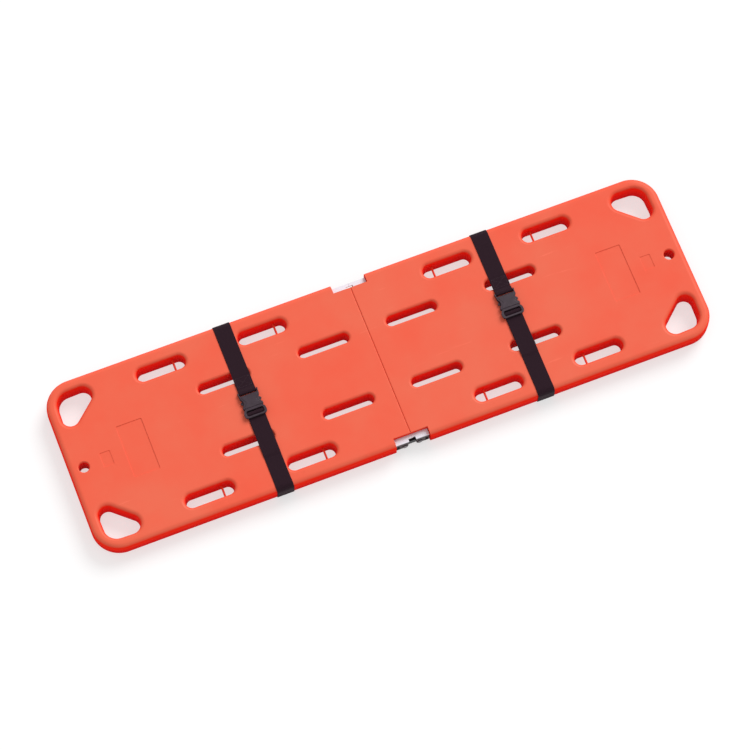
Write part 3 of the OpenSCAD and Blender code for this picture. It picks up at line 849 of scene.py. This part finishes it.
# %% Flat mouldings
def slab(skin, loop, low, top, radius, holes=(), hole_radius=None):
    """A flat moulding between two heights with rounded edges and rounded holes."""
    wall = rim(loop, -outward(loop), top, low, radius, radius, turns=4)
    skin.grid(wall)
    tops, lows = [wall[0, :, :2]], [wall[-1, :, :2]]
    for hole in holes:
        soft = radius if hole_radius is None else hole_radius
        wall = rim(hole, outward(hole), top, low, soft, soft, turns=4)
        skin.grid(wall)
        tops.append(wall[0, :, :2])
        lows.append(wall[-1, :, :2])
    skin.flat(tops, at_height(top))
    skin.flat(lows, at_height(low))


def averaged(loop):
    """Each point moved to half itself and a quarter of each neighbour."""
    return 0.5 * loop + 0.25 * (np.roll(loop, 1, 0) + np.roll(loop, -1, 0))


def smooth_outline(right_side, spacing=1.6, passes=6):
    """Closes the right half of an outline with its mirror image, then rounds its corners by averaging."""
    half = np.array(right_side, float)
    loop = even(np.concatenate((half, half[::-1] * (-1, 1))), spacing)
    for _ in range(passes):
        loop = averaged(loop)
    return loop


def rod(skin, y, z, radius, length, count=20):
    """A round bar along X with closed ends."""
    angle = np.linspace(0, 2 * np.pi, count, endpoint=False)
    ring = np.stack((np.cos(angle), np.sin(angle)), 1)
    sizes = np.array((0, radius - 0.3, radius, radius, radius - 0.3, 0))
    places = np.array((-length / 2, -length / 2, 0.3 - length / 2, length / 2 - 0.3, length / 2, length / 2))
    plan = sizes[:, None, None] * ring[None] + (y, z)
    skin.grid(np.concatenate((np.broadcast_to(places[:, None, None], plan.shape[:2] + (1,)), plan), 2))


def put(skin, x, y):
    """Moves a buckle part from its own frame to its strap."""
    skin.points = [points + (x, y, TOP + WEB_LIFT) for points in skin.points]
    return skin


# %% Socket
def socket_skin():
    """Two waisted plates, the walls beside the mouth, a solid back and the eye for the webbing."""
    skin = Skin()
    waist = smooth_outline([(0, 0.2), (28.5, 0.2), (29.8, 2.6), (29.8, 7.5), (24.6, 12), (21.8, 18.5),
                            (23.2, 25.5), (28, 31.5), (29.5, 39), (0, 39)])
    slab(skin, waist, 9.9, 12.6, 1.2)
    slab(skin, waist, 0.0, 3.0, 1.2)
    crown = smooth_outline([(0, 1.6), (24, 1.6), (25, 4.5), (20, 11), (14.5, 18.5), (18.5, 26.5), (23, 32),
                            (24, 36.5), (0, 36.5)])
    slab(skin, crown, 11.6, 13.4, 0.9)
    for s in (-1, 1):
        cheek = stadium(0, 0, 9.0, 3.2)[:, ::-1] * (s, 1)
        cheek = cheek[::-1] if s > 0 else cheek
        slab(skin, even(cheek + (s * 28.2, 5.0), 2.0), 7.6, 10.4, 0.6)
    back = smooth_outline([(0, 32.5), (25, 32.5), (28.5, 34.8), (29.5, 39.2), (0, 39.2)], passes=4)
    slab(skin, back, 1.0, 11.8, 1.0)
    eye = smooth_outline([(0, 37.5), (28, 37.5), (29, 41), (28.6, 46), (30.6, 50), (29.6, 52.2), (27, 52.6),
                          (26, 52.4), (26, 41), (0, 41)], passes=3)
    slab(skin, eye, 0.4, 9.4, 1.0)
    rod(skin, EYE_Y, BAR_Z - TOP - WEB_LIFT, BAR_R, 54.0)
    return skin


# %% Plug
def plug_skin():
    """A flared frame with one wide slot, lower cheeks, the round ladder bar and the middle tongue."""
    skin = Skin()
    flare = smooth_outline([(0, -0.6), (23.5, -0.6), (26, -2.3), (30.4, -8.2), (31.4, -17), (30.2, -23),
                            (26.5, -25.4), (0, -25.4)])
    slot_hole = smooth_outline([(0, -22), (22.5, -22), (25.2, -19.8), (25.2, -8.6), (22.6, -6.2),
                                (0, -6.2)], passes=4)
    slab(skin, flare, 5.4, 11.8, 1.3, [slot_hole], 1.0)
    front = smooth_outline([(0, -0.6), (24.5, -0.6), (26.5, -3), (27, -6.2), (0, -6.2)], passes=3)
    slab(skin, front, 0.2, 2.9, 0.8)
    for s in (-1, 1):
        cheek = np.array([(25.9, -24.6), (28.8, -24.2), (30.2, -20.4), (29.8, -8.4), (28.6, -4.0),
                          (25.9, -3.5)])
        slab(skin, averaged(even((cheek * (s, 1))[::s], 1.2)), 0.2, 7.0, 0.8)
    rod(skin, PLUG_BAR_Y, BAR_Z - TOP - WEB_LIFT, BAR_R, 54.0)
    tongue = smooth_outline([(0, -3), (6, -3), (6, 25), (3, 29), (0, 29)], passes=3)
    slab(skin, tongue, 4.0, 9.0, 0.9)
    return skin


# %% Arms
def arm_skin(side):
    """A tapering spring finger with an oval press button in the window."""
    skin = Skin()
    finger = round_hull([(21, -2, 2.5), (21.2, 13, 2.4), (20.4, 25, 2.6)], 72)
    button = round_hull([(23.6, 16.2, 2.8), (23.8, 24.2, 2.8), (27.8, 19.8, 2.8)], 72)
    for loop, low, top in ((finger, 3.6, 9.4), (button, 3.6, 6.8)):
        loop = even(loop, 1.5) * (side, 1)
        slab(skin, loop[::side], low, top, 0.9)
    return skin


for side, (x, y) in STRAPS.items():
    put(socket_skin(), x, y).piece(f"{side}_socket", f"{side}_half", buckle_finish, [f"{side}_buckle_socket"])
    put(plug_skin(), x, y).piece(f"{side}_plug_frame", f"{side}_plug", buckle_finish, [f"{side}_buckle_plug"])
    for arm, s in (("left", -1), ("right", 1)):
        node = f"{side}_buckle_{arm}_arm"
        put(arm_skin(s), x, y).piece(f"{side}_{arm}_finger", f"{node}_body", buckle_finish, [node])

# %% [markdown]
# ## Finishes for the solids that stay
# The hinges, screws and rods are simple turned and sawn parts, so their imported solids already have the
# right shape. Only their materials change.

# %% Finishes on the kept solids
KEPT = {
    "strap_pins": rod_finish, "vent_plug": rod_finish, "leaf_screws": screw_finish, "leaf": leaf_finish,
    "link_bar": link_finish, "hinge_pins": pin_finish, "thrust_washers": washer_finish,
    "inserts": brass_finish,
}
for name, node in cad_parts.items():
    ending = next((end for end in KEPT if name.endswith(end)), None)
    if ending:
        node.data.materials.clear()
        node.data.materials.append(KEPT[ending])
